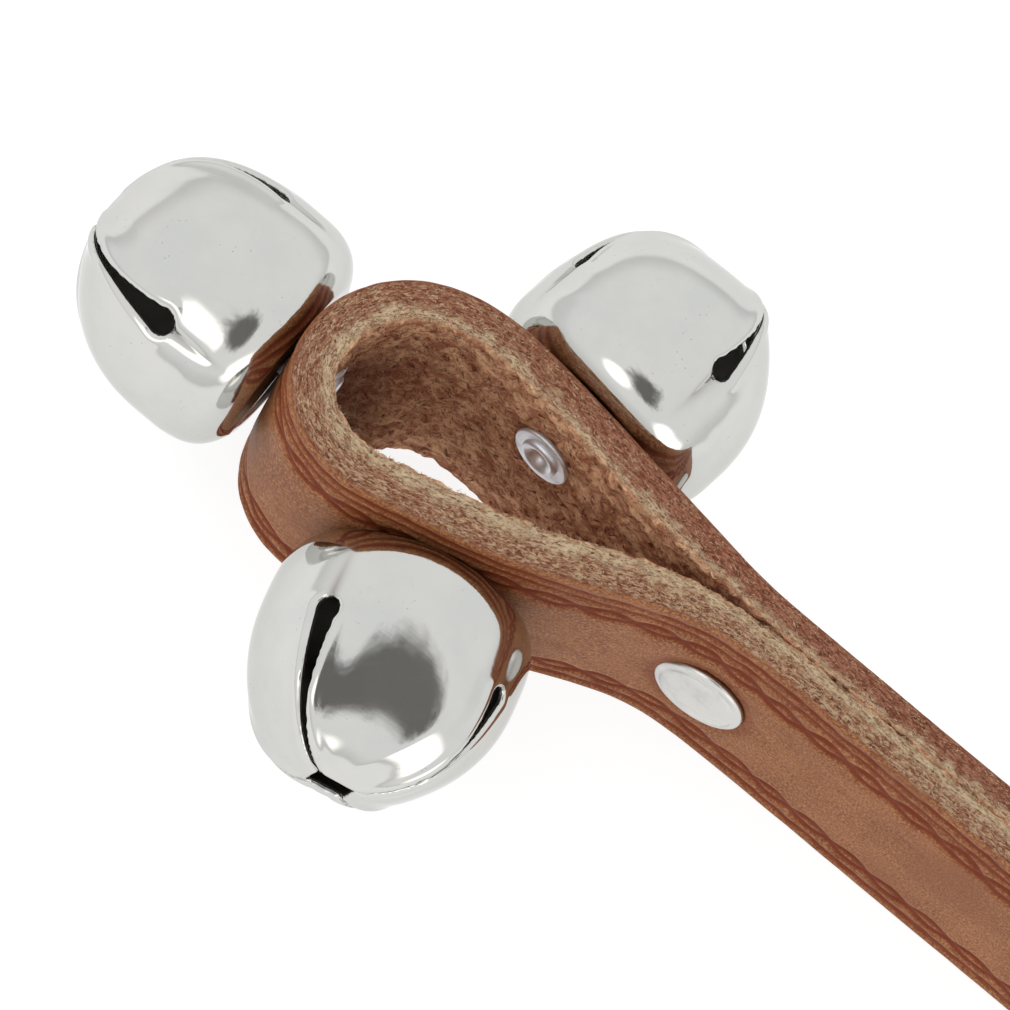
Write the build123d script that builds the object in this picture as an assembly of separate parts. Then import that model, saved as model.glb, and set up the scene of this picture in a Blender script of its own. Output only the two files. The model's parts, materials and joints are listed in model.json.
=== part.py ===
from build123d import *
import math
import os

# Sleigh bells on a folded leather hand strap. Millimetres.
# Z is up and is the strap's width: the strap stands on its lower edge.
# X runs from the loop to the far end of the handle. The bells sit on the outside of the loop.
# While building, x = 0 is the loop's tip and y = 0 is near the seam between the handle's two legs.

# ---- strap ----
STRAP_WIDTH = 28.6
LOOP_LEATHER = 4.6        # thickness round the loop, where the flesh side has swollen open
HANDLE_LEATHER = 3.5      # thickness along the handle, where the leather is pressed flat
THIN_FROM_X = 34.0        # the leather eases from one thickness to the other between these
THIN_TO_X = 50.0
HANDLE_END_X = 168.0
END_CORNER = 7.0
BACK_LEG_Y = 2.45
FRONT_LEG_Y = -1.15

# ---- bells: a deep cup below the widest ring, four petals folded over above it ----
BELL_RADIUS = 13.6
BELL_WALL = 0.7
CUP_DEPTH = 8.3           # from the widest ring down to the flat seat
CUP_POLE = 9.2            # depth the cup would reach without its flat
CUP_POWER = 3.4           # roundness of the cup: 2 is an ellipse, more is squarer
PETAL_PEAK = 15.45        # height at which the ridges would meet on the axis
PETAL_POWER = 2.55        # roundness of the ridges, as for the cup
MOUTH_HEIGHT = 15.1       # height at which the petals' tips are cut off
MOUTH_SHARE = 0.72        # radius in the middle of a petal over the ridges' radius, at the mouth
MOUTH_CORNER = 2.85       # from the axis to a corner of the square mouth
SLIT_WIDTH = 0.8
SLIT_THROAT_HEIGHT = 9.0  # where the slit starts to widen towards its round end
SLIT_END_HEIGHT = 2.5
SLIT_END_RADIUS = 1.25
SEAT_GAP = 0.1            # between a bell and the leather

# ---- pellets and fastenings ----
PELLET_RADIUS = 4.0
PELLET_GAP = 0.2
SHANK_RADIUS = 1.6
RUNNING_GAP = 0.06
HEAD_RADIUS = 3.4
HEAD_HEIGHT = 1.2
WASHER_RADIUS = 3.5
WASHER_THICKNESS = 0.6
ROLL_RADIUS = 2.3
ROLL_HEIGHT = 0.7
BORE_RADIUS = 1.0
PRESS_DEPTH = 0.3         # how far washers and caps are pressed into the leather
POCKET_MARGIN = 0.05
CAP_RADIUS = 5.2
CAP_RIM = 0.9
CAP_DOME = 0.7
POST_RADIUS = 2.0
PIN_RADIUS = 1.2
FIT_GAP = 0.03

# Places of the bells: distance along the leather's middle line from the line's own middle,
# height above mid-width, and turn of the slits away from straight up.
BELLS = {
    "tip": (-0.4, 1.8, 44.5),
    "back": (-30.3, 4.8, 29.0),
    "front": (26.6, 0.7, 37.5),
}

# Places of the cap rivets: x, height above mid-width, and lean of the rivet's axis in plan.
CAP_RIVETS = {
    "loop": (50.4, -0.65, 3.0),
    "end": (156.0, 0.0, 0.0),
}

# Middle line of the leather: back leg from the far end, round the loop, front leg.
ROUTE = [
    (HANDLE_END_X, BACK_LEG_Y), (120, BACK_LEG_Y), (75, BACK_LEG_Y), (58, 2.5), (48, 2.7),
    (41, 3.3), (33, 4.2), (25.6, 5.35), (18, 6.3), (10.3, 6.3), (3.3, 3.05), (-0.15, -3.8),
    (1.9, -11.1), (8.9, -14.1), (16.5, -12.65), (23.9, -10.65), (31, -7.85), (38, -4.6),
    (45.4, -2.1), (53, -1.3), (65, FRONT_LEG_Y), (110, FRONT_LEG_Y), (HANDLE_END_X, FRONT_LEG_Y),
]
OUTLINE_STEPS = 90

UP = Vector(0, 0, 1)


def leather_at(x):
    """Thickness of the leather at a distance along the handle."""
    share = min(max((x - THIN_FROM_X) / (THIN_TO_X - THIN_FROM_X), 0), 1)
    ease = share * share * (3 - 2 * share)
    return LOOP_LEATHER + (HANDLE_LEATHER - LOOP_LEATHER) * ease


def outward(tangent):
    """Normal of the strap's outer face, for a route that runs round the loop anticlockwise."""
    return Vector(tangent.Y, -tangent.X, 0)


def face_point(route, share, side):
    """Point on the strap's outer (side 1) or inner (side -1) face, in plan."""
    middle = route.position_at(share)
    return middle + outward(route.tangent_at(share)) * (side * leather_at(middle.X) / 2)


def make_strap(route, cutters):
    shares = [step / OUTLINE_STEPS for step in range(OUTLINE_STEPS + 1)]
    outer = [face_point(route, share, 1) for share in shares]
    inner = [face_point(route, share, -1) for share in shares]
    edges = [
        Spline(*outer, tangents=[(-1, 0), (1, 0)]),
        Line(outer[-1], inner[-1]),
        Spline(*reversed(inner), tangents=[(-1, 0), (1, 0)]),
        Line(inner[0], outer[0]),
    ]
    strap = extrude(make_face(edges), STRAP_WIDTH)
    end_edges = strap.edges().filter_by(Axis.Y).group_by(Axis.X)[-1]
    strap = fillet(end_edges, END_CORNER)
    for cutter in cutters:
        strap = strap - cutter
    return strap


def ridge_radius(height, radius, peak):
    return radius * (1 - (height / peak) ** PETAL_POWER) ** (1 / PETAL_POWER)


def petal_section(height, radius, peak):
    """Four bowed sides between the ridges: a circle at the widest ring, nearly a square on top."""
    ridge = ridge_radius(height, radius, peak)
    middle = ridge * (1 - (1 - MOUTH_SHARE) * (height / MOUTH_HEIGHT) ** PETAL_POWER)
    sides = []
    for quarter in range(4):
        start, half, end = [math.radians(90 * quarter + turn) for turn in (0, 45, 90)]
        sides.append(ThreePointArc(
            (ridge * math.cos(start), ridge * math.sin(start), height),
            (middle * math.cos(half), middle * math.sin(half), height),
            (ridge * math.cos(end), ridge * math.sin(end), height),
        ))
    return Face(Wire(sides))


def cup_half(radius, cup_pole, cup_depth):
    """Half section of the cup, from the widest ring down to the flat seat."""
    rim_to_seat = []
    for step in range(11):
        depth = cup_depth * step / 10
        reach = radius * (1 - (depth / cup_pole) ** CUP_POWER) ** (1 / CUP_POWER)
        rim_to_seat.append((reach, -depth))
    seat = rim_to_seat[-1]
    return make_face([
        Spline(*rim_to_seat),
        Line(seat, (0, -cup_depth)),
        Line((0, -cup_depth), (0, 0)),
        Line((0, 0), rim_to_seat[0]),
    ])


def bell_body(radius, cup_pole, cup_depth, peak, top):
    """Solid of revolution for the cup, and a loft for the folded petals above it."""
    cup = revolve(Plane.XZ * cup_half(radius, cup_pole, cup_depth), Axis.Z)
    levels = [top * level for level in (0, 0.22, 0.42, 0.6, 0.75, 0.87, 0.95, 1)]
    petals = loft([petal_section(height, radius, peak) for height in levels])
    return cup + petals


def make_shell():
    """Bell shell about its own axis: widest ring at z = 0, slits along x and y."""
    outside = bell_body(BELL_RADIUS, CUP_POLE, CUP_DEPTH, PETAL_PEAK, MOUTH_HEIGHT)
    inside = bell_body(
        BELL_RADIUS - BELL_WALL,
        CUP_POLE - BELL_WALL,
        CUP_DEPTH - BELL_WALL,
        PETAL_PEAK - BELL_WALL,
        MOUTH_HEIGHT - BELL_WALL,
    )
    mouth_side = MOUTH_CORNER * math.sqrt(2)
    mouth = Pos(0, 0, MOUTH_HEIGHT) * Rot(0, 0, 45) * Box(mouth_side, mouth_side, 4)
    half_slit = SLIT_WIDTH / 2
    half_end = SLIT_END_RADIUS * 0.92
    above = MOUTH_HEIGHT + 1
    slit_shape = Pos(0, SLIT_END_HEIGHT) * Circle(SLIT_END_RADIUS)
    slit_shape += make_face(Polyline(
        (-half_end, SLIT_END_HEIGHT + 0.5), (-half_slit, SLIT_THROAT_HEIGHT), (-half_slit, above),
        (half_slit, above), (half_slit, SLIT_THROAT_HEIGHT), (half_end, SLIT_END_HEIGHT + 0.5),
        close=True,
    ))
    slit = extrude(Plane.XZ * slit_shape, BELL_RADIUS + 2, both=True)
    shank_hole = Pos(0, 0, -CUP_DEPTH) * Cylinder(SHANK_RADIUS + RUNNING_GAP, 4 * BELL_WALL)
    return outside - inside - mouth - slit - Rot(0, 0, 90) * slit - shank_hole


def make_bell_rivet(leather):
    """Tubular rivet along z, with z = 0 on the leather's outer face and its head inside the bell."""
    head_base = SEAT_GAP + BELL_WALL + SEAT_GAP
    washer_face = -(leather - PRESS_DEPTH) - WASHER_THICKNESS
    head = Pos(0, 0, head_base + HEAD_HEIGHT / 2) * Cylinder(HEAD_RADIUS, HEAD_HEIGHT)
    head = fillet(head.edges().group_by(Axis.Z)[-1], HEAD_HEIGHT * 0.6)
    shank_length = head_base - washer_face
    shank = Pos(0, 0, washer_face + shank_length / 2) * Cylinder(SHANK_RADIUS, shank_length)
    roll = Pos(0, 0, washer_face - ROLL_HEIGHT / 2) * Cylinder(ROLL_RADIUS, ROLL_HEIGHT)
    roll = fillet(roll.edges().group_by(Axis.Z)[0], ROLL_HEIGHT * 0.6)
    bore = Pos(0, 0, washer_face) * Cylinder(BORE_RADIUS, 4 * ROLL_HEIGHT)
    return head + shank + roll - bore


def make_washer(leather):
    middle = -(leather - PRESS_DEPTH) - WASHER_THICKNESS / 2
    ring = Cylinder(WASHER_RADIUS, WASHER_THICKNESS) - Cylinder(SHANK_RADIUS + FIT_GAP, WASHER_THICKNESS)
    return Pos(0, 0, middle) * ring


def bell_cutters(leather):
    """What the strap gives up to one bell: the shank's hole and the washer's pressed seat."""
    hole = Cylinder(SHANK_RADIUS + FIT_GAP, 4 * leather)
    pocket_depth = WASHER_THICKNESS + 2 * ROLL_HEIGHT
    pocket_top = -(leather - PRESS_DEPTH)
    pocket = Cylinder(WASHER_RADIUS + POCKET_MARGIN, pocket_depth)
    return [hole, Pos(0, 0, pocket_top - pocket_depth / 2) * pocket]


def domed_cap():
    """Cap of a rivet: flat underside at z = 0, straight rim, dome above."""
    rim = extrude(Circle(CAP_RADIUS), CAP_RIM)
    ball_radius = (CAP_RADIUS ** 2 + CAP_DOME ** 2) / (2 * CAP_DOME)
    ball = Pos(0, 0, CAP_RIM + CAP_DOME - ball_radius) * Sphere(ball_radius)
    dome = ball & Pos(0, 0, CAP_RIM) * extrude(Circle(CAP_RADIUS), 2 * CAP_DOME)
    return rim + dome


def make_cap_rivet(grip):
    """Front cap with its pin, and back cap with the tube that takes it. z = 0 is the front seat."""
    pin = Pos(0, 0, -grip / 2) * extrude(Circle(PIN_RADIUS), grip / 2)
    front = domed_cap() + pin
    tube_length = grip - FIT_GAP
    tube = extrude(Circle(POST_RADIUS) - Circle(PIN_RADIUS + FIT_GAP), tube_length)
    back = Pos(0, 0, -grip) * (Rot(180, 0, 0) * domed_cap() + tube)
    return front, back


def cap_cutters(grip):
    pocket = extrude(Circle(CAP_RADIUS + POCKET_MARGIN), 4 * CAP_RIM)
    hole = Pos(0, 0, -grip / 2) * Cylinder(POST_RADIUS + FIT_GAP, 4 * grip)
    return [pocket, Pos(0, 0, -grip) * Rot(180, 0, 0) * pocket, hole]


def share_at_x(route, x, low, high):
    """Share of the route's length at which a leg reaches x, found by halving."""
    rising = route.position_at(high).X > route.position_at(low).X
    for _ in range(40):
        middle = (low + high) / 2
        if (route.position_at(middle).X < x) == rising:
            low = middle
        else:
            high = middle
    return low


def bell_seat(route, name):
    """Frame on the strap's outer face under a bell: z outward, x along a slit."""
    distance, lift, turn = BELLS[name]
    share = 0.5 + distance / route.length
    normal = outward(route.tangent_at(share))
    side = normal.cross(UP)
    along_slit = UP * math.cos(math.radians(turn)) + side * math.sin(math.radians(turn))
    origin = face_point(route, share, 1) + UP * (STRAP_WIDTH / 2 + lift)
    return Plane(origin=origin, x_dir=along_slit, z_dir=normal)


def cap_seat(route, name):
    """Frame on the front leg under a cap rivet, z outward, and the two legs' grip length."""
    x, lift, lean = CAP_RIVETS[name]
    front = face_point(route, share_at_x(route, x, 0.6, 1), 1)
    back = face_point(route, share_at_x(route, x, 0, 0.4), 1)
    axis = Vector(math.sin(math.radians(lean)), -math.cos(math.radians(lean)), 0)
    origin = front - axis * PRESS_DEPTH + UP * (STRAP_WIDTH / 2 + lift)
    grip = back.Y - front.Y - 2 * PRESS_DEPTH
    return Plane(origin=origin, x_dir=UP, z_dir=axis), grip


def make_parts():
    route = Spline(*ROUTE, tangents=[(-1, 0), (1, 0)])
    parts = {}
    cutters = []
    shell = make_shell()
    for name in BELLS:
        seat = bell_seat(route, name)
        centre = seat.offset(SEAT_GAP + CUP_DEPTH)
        parts[f"{name}_bell_shell"] = centre * shell
        drop = BELL_RADIUS - BELL_WALL - PELLET_RADIUS - PELLET_GAP
        parts[f"{name}_bell_pellet"] = Pos(*(centre.origin - UP * drop)) * Sphere(PELLET_RADIUS)
        parts[f"{name}_bell_rivet"] = seat * make_bell_rivet(LOOP_LEATHER)
        parts[f"{name}_bell_washer"] = seat * make_washer(LOOP_LEATHER)
        cutters += [seat * cutter for cutter in bell_cutters(LOOP_LEATHER)]
    for name in CAP_RIVETS:
        seat, grip = cap_seat(route, name)
        front, back = make_cap_rivet(grip)
        parts[f"{name}_rivet_front_cap"] = seat * front
        parts[f"{name}_rivet_back_post"] = seat * back
        cutters += [seat * cutter for cutter in cap_cutters(grip)]
    parts["strap"] = make_strap(route, cutters)
    return parts


def export_parts(parts):
    """Write every piece with the origin under the middle of the whole object's box."""
    boxes = [solid.bounding_box() for solid in parts.values()]
    low = [min(axis) for axis in zip(*(tuple(box.min) for box in boxes))]
    high = [max(axis) for axis in zip(*(tuple(box.max) for box in boxes))]
    shift = Pos(-(low[0] + high[0]) / 2, -(low[1] + high[1]) / 2, -low[2])
    os.makedirs("parts", exist_ok=True)
    for node, solid in parts.items():
        export_step(shift * solid, f"parts/{node}.step")
    print("origin shift", shift.position, "size", [top - bottom for top, bottom in zip(high, low)])


export_parts(make_parts())
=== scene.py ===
import json
import math
import bmesh
import bpy
import numpy as np
from mathutils import Matrix, Vector


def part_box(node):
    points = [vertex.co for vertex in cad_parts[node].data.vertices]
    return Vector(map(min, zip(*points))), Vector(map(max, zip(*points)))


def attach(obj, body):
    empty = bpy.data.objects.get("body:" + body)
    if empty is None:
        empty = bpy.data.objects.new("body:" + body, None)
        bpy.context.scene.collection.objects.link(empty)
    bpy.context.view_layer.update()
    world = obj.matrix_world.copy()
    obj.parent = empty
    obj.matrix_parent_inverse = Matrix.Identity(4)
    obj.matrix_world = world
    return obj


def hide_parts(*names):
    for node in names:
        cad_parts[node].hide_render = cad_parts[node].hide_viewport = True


# Sleigh bells on a folded leather hand strap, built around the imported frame. The sizes below are in
# millimetres and the angles in degrees, unless a comment says otherwise. Blender's own are metres.
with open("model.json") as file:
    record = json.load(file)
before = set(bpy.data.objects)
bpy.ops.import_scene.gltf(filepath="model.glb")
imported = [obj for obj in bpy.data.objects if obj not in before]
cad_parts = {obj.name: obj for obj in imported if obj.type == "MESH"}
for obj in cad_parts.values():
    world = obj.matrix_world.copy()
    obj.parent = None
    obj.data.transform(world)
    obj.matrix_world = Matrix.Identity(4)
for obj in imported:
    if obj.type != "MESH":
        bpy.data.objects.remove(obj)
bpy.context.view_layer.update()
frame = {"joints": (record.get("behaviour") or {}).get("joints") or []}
MM = 0.001

# ---- the strap, as it is in the frame, with x from the loop's tip ----
STRAP_WIDTH = 28.6
LOOP_LEATHER = 4.6
HANDLE_LEATHER = 3.5
THIN_FROM_X = 34.0
THIN_TO_X = 50.0
HANDLE_END_X = 168.0
END_CORNER = 7.0
BACK_LEG_Y = 2.45
FRONT_LEG_Y = -1.15
ROUTE = [
    (HANDLE_END_X, BACK_LEG_Y), (120, BACK_LEG_Y), (75, BACK_LEG_Y), (58, 2.5), (48, 2.7),
    (41, 3.3), (33, 4.2), (25.6, 5.35), (18, 6.3), (10.3, 6.3), (3.3, 3.05), (-0.15, -3.8),
    (1.9, -11.1), (8.9, -14.1), (16.5, -12.65), (23.9, -10.65), (31, -7.85), (38, -4.6),
    (45.4, -2.1), (53, -1.3), (65, FRONT_LEG_Y), (110, FRONT_LEG_Y), (HANDLE_END_X, FRONT_LEG_Y),
]
PRESS_DEPTH = 0.3
CAP_RADIUS = 5.2
CAP_HEIGHT = 1.6
CAP_RIM = 0.45
CAP_GROOVE = 0.13  # shallow ring just inside a cap's rim
PIN_RADIUS = 1.2
POST_RADIUS = 2.0
SHANK_RADIUS = 1.6
HEAD_RADIUS = 3.4
HEAD_BASE = 0.9
HEAD_TOP = 2.1
ROLL_RADIUS = 2.3
ROLL_ROUND = 0.45
BORE_RADIUS = 1.0
WASHER_RADIUS = 3.5
WASHER_THICKNESS = 0.6
WASHER_BORE = 1.63
CAP_RIVETS = {"loop": (50.4, -0.65, 3.0), "end": (156.0, 0.0, 0.0)}  # x, height, lean
LATHE_TURNS = 72

# ---- the strap's skin ----
GRAIN_ROUND = 0.9  # rounding of the grain side's corners
FLESH_ROUND = 0.3
GRAIN_COLUMNS, FLESH_COLUMNS, EDGE_COLUMNS = 104, 64, 16
GRAIN_TURNS, FLESH_TURNS = 4, 2  # points inside a rounded corner
ROUTE_STEP = 0.3
CHAIN_INSETS = (4.6, 6.2)  # tooled chain's middle, from the lower and the upper edge
CHAIN_SWAY = 0.9  # half a link's height
CHAIN_PITCH = 5.4  # a link's length
LINE_INSETS = ((1.9, 1.9), (2.2, 3.7))  # two plain lines, from the lower and the upper edge
GROOVE_WIDTH = 0.6
GROOVE_DEPTH = 0.5
LOWER_LANE, UPPER_LANE = 3.5, 30.5  # rows of the noise lattice, so that the borders differ
# waves of noise along the border, each as (amount, length, seed)
CHAIN_WANDER = ((0.3, 9, 11), (0.24, 1.7, 12))
CHAIN_DRIFT = ((1.1, 14, 13),)
LINE_WANDER = (((0.26, 7, 14), (0.2, 1.5, 16)), ((0.26, 7, 15), (0.2, 1.5, 16)))
LINE_PRESS = ((0.3, 11, 18),)
EDGE_DROP = 0.1  # how far the grain side falls away towards its edges
EDGE_DROP_REACH = 9
PUFF = 0.05  # swelling inside the chain's links
WRINKLE = 0.04  # only in the bend
PEBBLE = 0.03
FLESH_FUZZ = 0.24
EDGE_FUZZ = 0.13
# the bend's flesh side bunches up towards the lower edge, and has painted shade in the bend, strongest
# over the lower half of the width
SWELL_PLACE = -10.5  # along the route, from its middle
SWELL_SPREAD = 7.5
SWELL_DEPTH = 3.4
# middle, along the route, and spread of the painted shade in the bend
FOLD_SHADE_PLACE = -3.0
FOLD_SHADE_SPREAD = 10.0
DISH_DEPTH = 0.12  # ring pressed into the leather round a fastening
DISH_WIDTH = 0.7
# loose fibres of the flesh side's corners, its face and the cut edges: how many, the spread of
# their directions along, out and up, their lean out and away from mid-width, and their lengths
FIBRES = {
    "corner": (9000, (1.3, 0.3, 0.4), 0.1, 0.35, (0.2, 0.6)),
    "face": (500, (1.3, 0.1, 0.8), -0.22, 0.0, (0.4, 1.2)),
    "edge": (4500, (1.4, 0.35, 0.1), 0.0, 0.22, (0.2, 0.6)),
}
FIBRE_RADIUS = 0.05
FIBRE_JOINTS = 4
FIBRE_LOWEST = 0.03  # above the floor
UPPER_SHARE = 0.75  # share of the fibres on the strap's upper edge
LOWER_LENGTH = 0.2  # length of the lower ones, against the upper ones

# ---- the bells ----
BELL_RADIUS = 13.6
BELL_WALL = 0.7
CUP_DEPTH = 8.3
CUP_POLE = 9.2
CUP_POWER = 3.4
SEAT_REACH = 8.4  # from a bell's widest ring down to the leather
PETAL_PEAK = 15.45
PETAL_POWER = 2.55
MOUTH_HEIGHT = 15.1
MOUTH_SHARE = 0.72  # radius of a petal's middle at the mouth, against its ridges'
MOUTH_CORNER = 2.85  # from the axis to a corner of the mouth
PELLET_RADIUS = 4.0
BELL_TURNS = {"tip": 44.5, "back": 29.0, "front": 37.5}
SLIT_FOOT = 1.25  # lowest point of every slit, above the widest ring
LIP_ROLL = 0.42  # rounding of the petals' free edges
# per slit, in order round the bell: round end's radius, throat height, half width at the throat,
# half width at the mouth
PLAIN_SLIT = (1.25, 9.5, 0.4, 0.4)
SLITS = {
    "tip": [(1.0, 9.0, 0.3, 0.28), PLAIN_SLIT, PLAIN_SLIT, (1.5, 9.5, 0.48, 0.3)],
    "back": [(1.25, 8.5, 0.25, 0.2), PLAIN_SLIT, PLAIN_SLIT, (1.0, 8.0, 0.3, 0.3)],
    "front": [(1.3, 10.5, 0.5, 0.3), PLAIN_SLIT, PLAIN_SLIT, (1.1, 8.4, 0.14, 0.1)],
}
LEAVE_SHARE = 0.35  # where a slit's sides leave its round end, in radii above the end's centre
# pressed marks, with each bell's share of them
CREASE_SHARES = {"tip": 1.0, "back": 1.0, "front": 0.0}
CREASE_DEPTH = 0.45
CREASE_LENGTH = 7.0
CREASE_WIDTH = 0.5
FLARE_DEPTH = 0.12
FLARE_WIDTH = 1.8
WAVE_DEPTH = 0.035
RIPPLE_DEPTHS = {"tip": 0.03, "back": 0.045, "front": 0.01}  # stamping marks on the shoulder
BEAD_PLACE, BEAD_WIDTH, BEAD_HEIGHT = 0.75, 0.45, 0.14  # from a petal's free edge
VALLEY_PLACE, VALLEY_WIDTH, VALLEY_DEPTH = 2.3, 0.9, 0.04
PANEL_DEPTH = 0.25  # how much the middle of a petal is flattened
PANEL_HEIGHT = 7.4
PANEL_SPREAD = 4.2
PANEL_PER_DEGREE = 0.2  # distance round the bell for each degree
FLAT_PETAL = 3  # the petal between the last and the first slit has its own flat instead
FLAT_DEPTHS = {"tip": 0.2, "back": 0.0, "front": 1.15}
FLAT_TURN = 55  # middle of the flat, from the petal's first slit
FLAT_HEIGHT = 7.2
FLAT_REACH = 7.6
FLAT_PER_DEGREE = 0.22
# the shell's mesh
CUP_ROWS = 44
PETAL_COLUMNS = 77
SEAT_RADII = np.array([SHANK_RADIUS + 0.06, 2.1, 3.2, 4.8, 6.4, 7.8, 8.6])
MOUTH_SHARES = np.array([0.35, 0.7, 0.88, 1.0])  # from the petals' top to the mouth
FAR_AWAY = 9.0  # distance given to an edge that is nowhere near

# ---- the view ----
VIEW_AZIMUTH, VIEW_ELEVATION, VIEW_ROLL = 2.2, 65.91, 37.7
VIEW_DISTANCE = 336.8
VIEW_TARGET = (23.2, -1.2)  # on the strap's own x and y, at mid-width
PIXELS_PER_MM = 9.87
IMAGE_SIDE = 1010
SENSOR = 36.0

# ---- the studio, in metres ----
TENT, TENT_LOW = 1.01, 0.8  # brightness of the white tent overhead, and at the horizon
TENT_RISE = (-0.05, 0.3)  # between these heights on the unit sphere
FLOOR_HALF = 3
FLOOR_GLOW, FLOOR_GLOW_FAR = 0.87, 0.62
FLOOR_FADE = (0.15, 1.0)  # the glow falls off between these distances
SOFTBOX_WATTS = 1.2
SOFTBOX_SIZE = 0.5
SOFTBOX_DISTANCE = 0.8
CARD_WARMTH = (1, 0.965, 0.93, 1)


def strap_shift():
    """From the strap's own x and y, in millimetres, to the frame's."""
    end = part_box("strap")[1].x / MM - HANDLE_END_X
    cap_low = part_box("end_rivet_front_cap")[0].y / MM
    seat = FRONT_LEG_Y - HANDLE_LEATHER / 2 + PRESS_DEPTH
    return np.array([end, cap_low - (seat - CAP_HEIGHT)])


SHIFT = strap_shift()
MID_Z = STRAP_WIDTH / 2


# ---- helpers ----
def smoothstep(low, high, value):
    share = np.clip((value - low) / (high - low), 0, 1)
    return share * share * (3 - 2 * share)


def lattice_noise(x, y, seed, size=64):
    """Smooth noise between -1 and 1 on a repeating lattice of unit cells."""
    table = np.random.default_rng(seed).uniform(-1, 1, (size, size))
    x0, y0 = np.floor(x).astype(int), np.floor(y).astype(int)
    fx, fy = x - x0, y - y0
    fx, fy = fx * fx * (3 - 2 * fx), fy * fy * (3 - 2 * fy)
    corner = [table[(x0 + i) % size, (y0 + j) % size] for i in (0, 1) for j in (0, 1)]
    left = corner[0] * (1 - fy) + corner[1] * fy
    right = corner[2] * (1 - fy) + corner[3] * fy
    return left * (1 - fx) + right * fx


def hump(distance, width):
    return np.exp(-(distance / width) ** 2)


def linked(name, data):
    obj = bpy.data.objects.new(name, data)
    bpy.context.scene.collection.objects.link(obj)
    return obj


def shade_smooth(mesh):
    mesh.polygons.foreach_set("use_smooth", [True] * len(mesh.polygons))


def mesh_object(name, verts, faces):
    """Object from vertices in millimetres of the frame."""
    mesh = bpy.data.meshes.new(name)
    mesh.from_pydata([tuple(v) for v in np.asarray(verts, float) * MM], [], faces)
    mesh.validate()
    shade_smooth(mesh)
    return linked(name, mesh)


def bmesh_object(name, bm):
    """Object from a bmesh in metres, which is freed."""
    mesh = bpy.data.meshes.new(name)
    bm.to_mesh(mesh)
    bm.free()
    shade_smooth(mesh)
    return linked(name, mesh)


def point_attribute(obj, name, values, kind="FLOAT", field="value"):
    attribute = obj.data.attributes.new(name, kind, "POINT")
    attribute.data.foreach_set(field, np.asarray(values, np.float32).ravel())


def tube_quads(ids):
    """Quads between neighbouring rings of vertices; ids run round each ring along the last axis."""
    low, high = ids[..., :-1, :], ids[..., 1:, :]
    corners = [low, np.roll(low, -1, -1), np.roll(high, -1, -1), high]
    return np.stack(corners, -1).reshape(-1, 4).tolist()


# ---- the middle line of the leather ----
def clamped_cubic(points, start, end):
    """Twice-smooth cubic through the points, by chord length, with given end directions."""
    points = np.asarray(points, float)
    knots = np.concatenate([[0], np.cumsum(np.linalg.norm(np.diff(points, axis=0), axis=1))])
    gaps = np.diff(knots)
    count = len(points)
    system = np.zeros((count, count))
    right = np.zeros((count, 2))
    system[0, 0] = system[-1, -1] = 1
    right[0], right[-1] = start, end
    for k in range(1, count - 1):
        system[k, k - 1] = gaps[k]
        system[k, k] = 2 * (gaps[k - 1] + gaps[k])
        system[k, k + 1] = gaps[k - 1]
        before = (points[k] - points[k - 1]) / gaps[k - 1]
        after = (points[k + 1] - points[k]) / gaps[k]
        right[k] = 3 * (gaps[k] * before + gaps[k - 1] * after)
    slopes = np.linalg.solve(system, right)

    def place(at):
        cell = np.clip(np.searchsorted(knots, at, side="right") - 1, 0, count - 2)
        gap = gaps[cell]
        t = ((at - knots[cell]) / gap)[:, None]
        gap = gap[:, None]
        h00, h10 = 2 * t ** 3 - 3 * t ** 2 + 1, t ** 3 - 2 * t ** 2 + t
        h01, h11 = -2 * t ** 3 + 3 * t ** 2, t ** 3 - t ** 2
        return (h00 * points[cell] + h10 * gap * slopes[cell]
                + h01 * points[cell + 1] + h11 * gap * slopes[cell + 1])

    return place, knots[-1]


def leather_at(x):
    ease = smoothstep(THIN_FROM_X, THIN_TO_X, x)
    return LOOP_LEATHER + (HANDLE_LEATHER - LOOP_LEATHER) * ease


class Route:
    """The leather's middle line, sampled evenly by length."""

    def __init__(self):
        place, length = clamped_cubic(ROUTE, (-1, 0), (1, 0))
        fine = place(np.linspace(0, length, 8000))
        run = np.concatenate([[0], np.cumsum(np.linalg.norm(np.diff(fine, axis=0), axis=1))])
        self.length = run[-1]
        count = int(self.length / ROUTE_STEP)
        self.along = np.linspace(0, self.length, count + 1)
        self.middle = np.stack([np.interp(self.along, run, fine[:, k]) for k in (0, 1)], 1)
        tangent = np.gradient(self.middle, self.along, axis=0)
        self.tangent = tangent / np.linalg.norm(tangent, axis=1)[:, None]
        self.normal = np.stack([self.tangent[:, 1], -self.tangent[:, 0]], 1)
        self.thickness = leather_at(self.middle[:, 0])

    def at(self, along, values):
        return np.stack([np.interp(along, self.along, column) for column in values.T], -1)

    def nearest(self, point):
        """Length along the route of the sample nearest to a point in the frame's x and y."""
        own = np.asarray(point) - SHIFT
        return self.along[np.argmin(np.linalg.norm(self.middle - own, axis=1))]


route = Route()


def waves(along, lane, recipe):
    return sum(amount * lattice_noise(along / length, lane, seed) for amount, length, seed in recipe)


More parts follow.
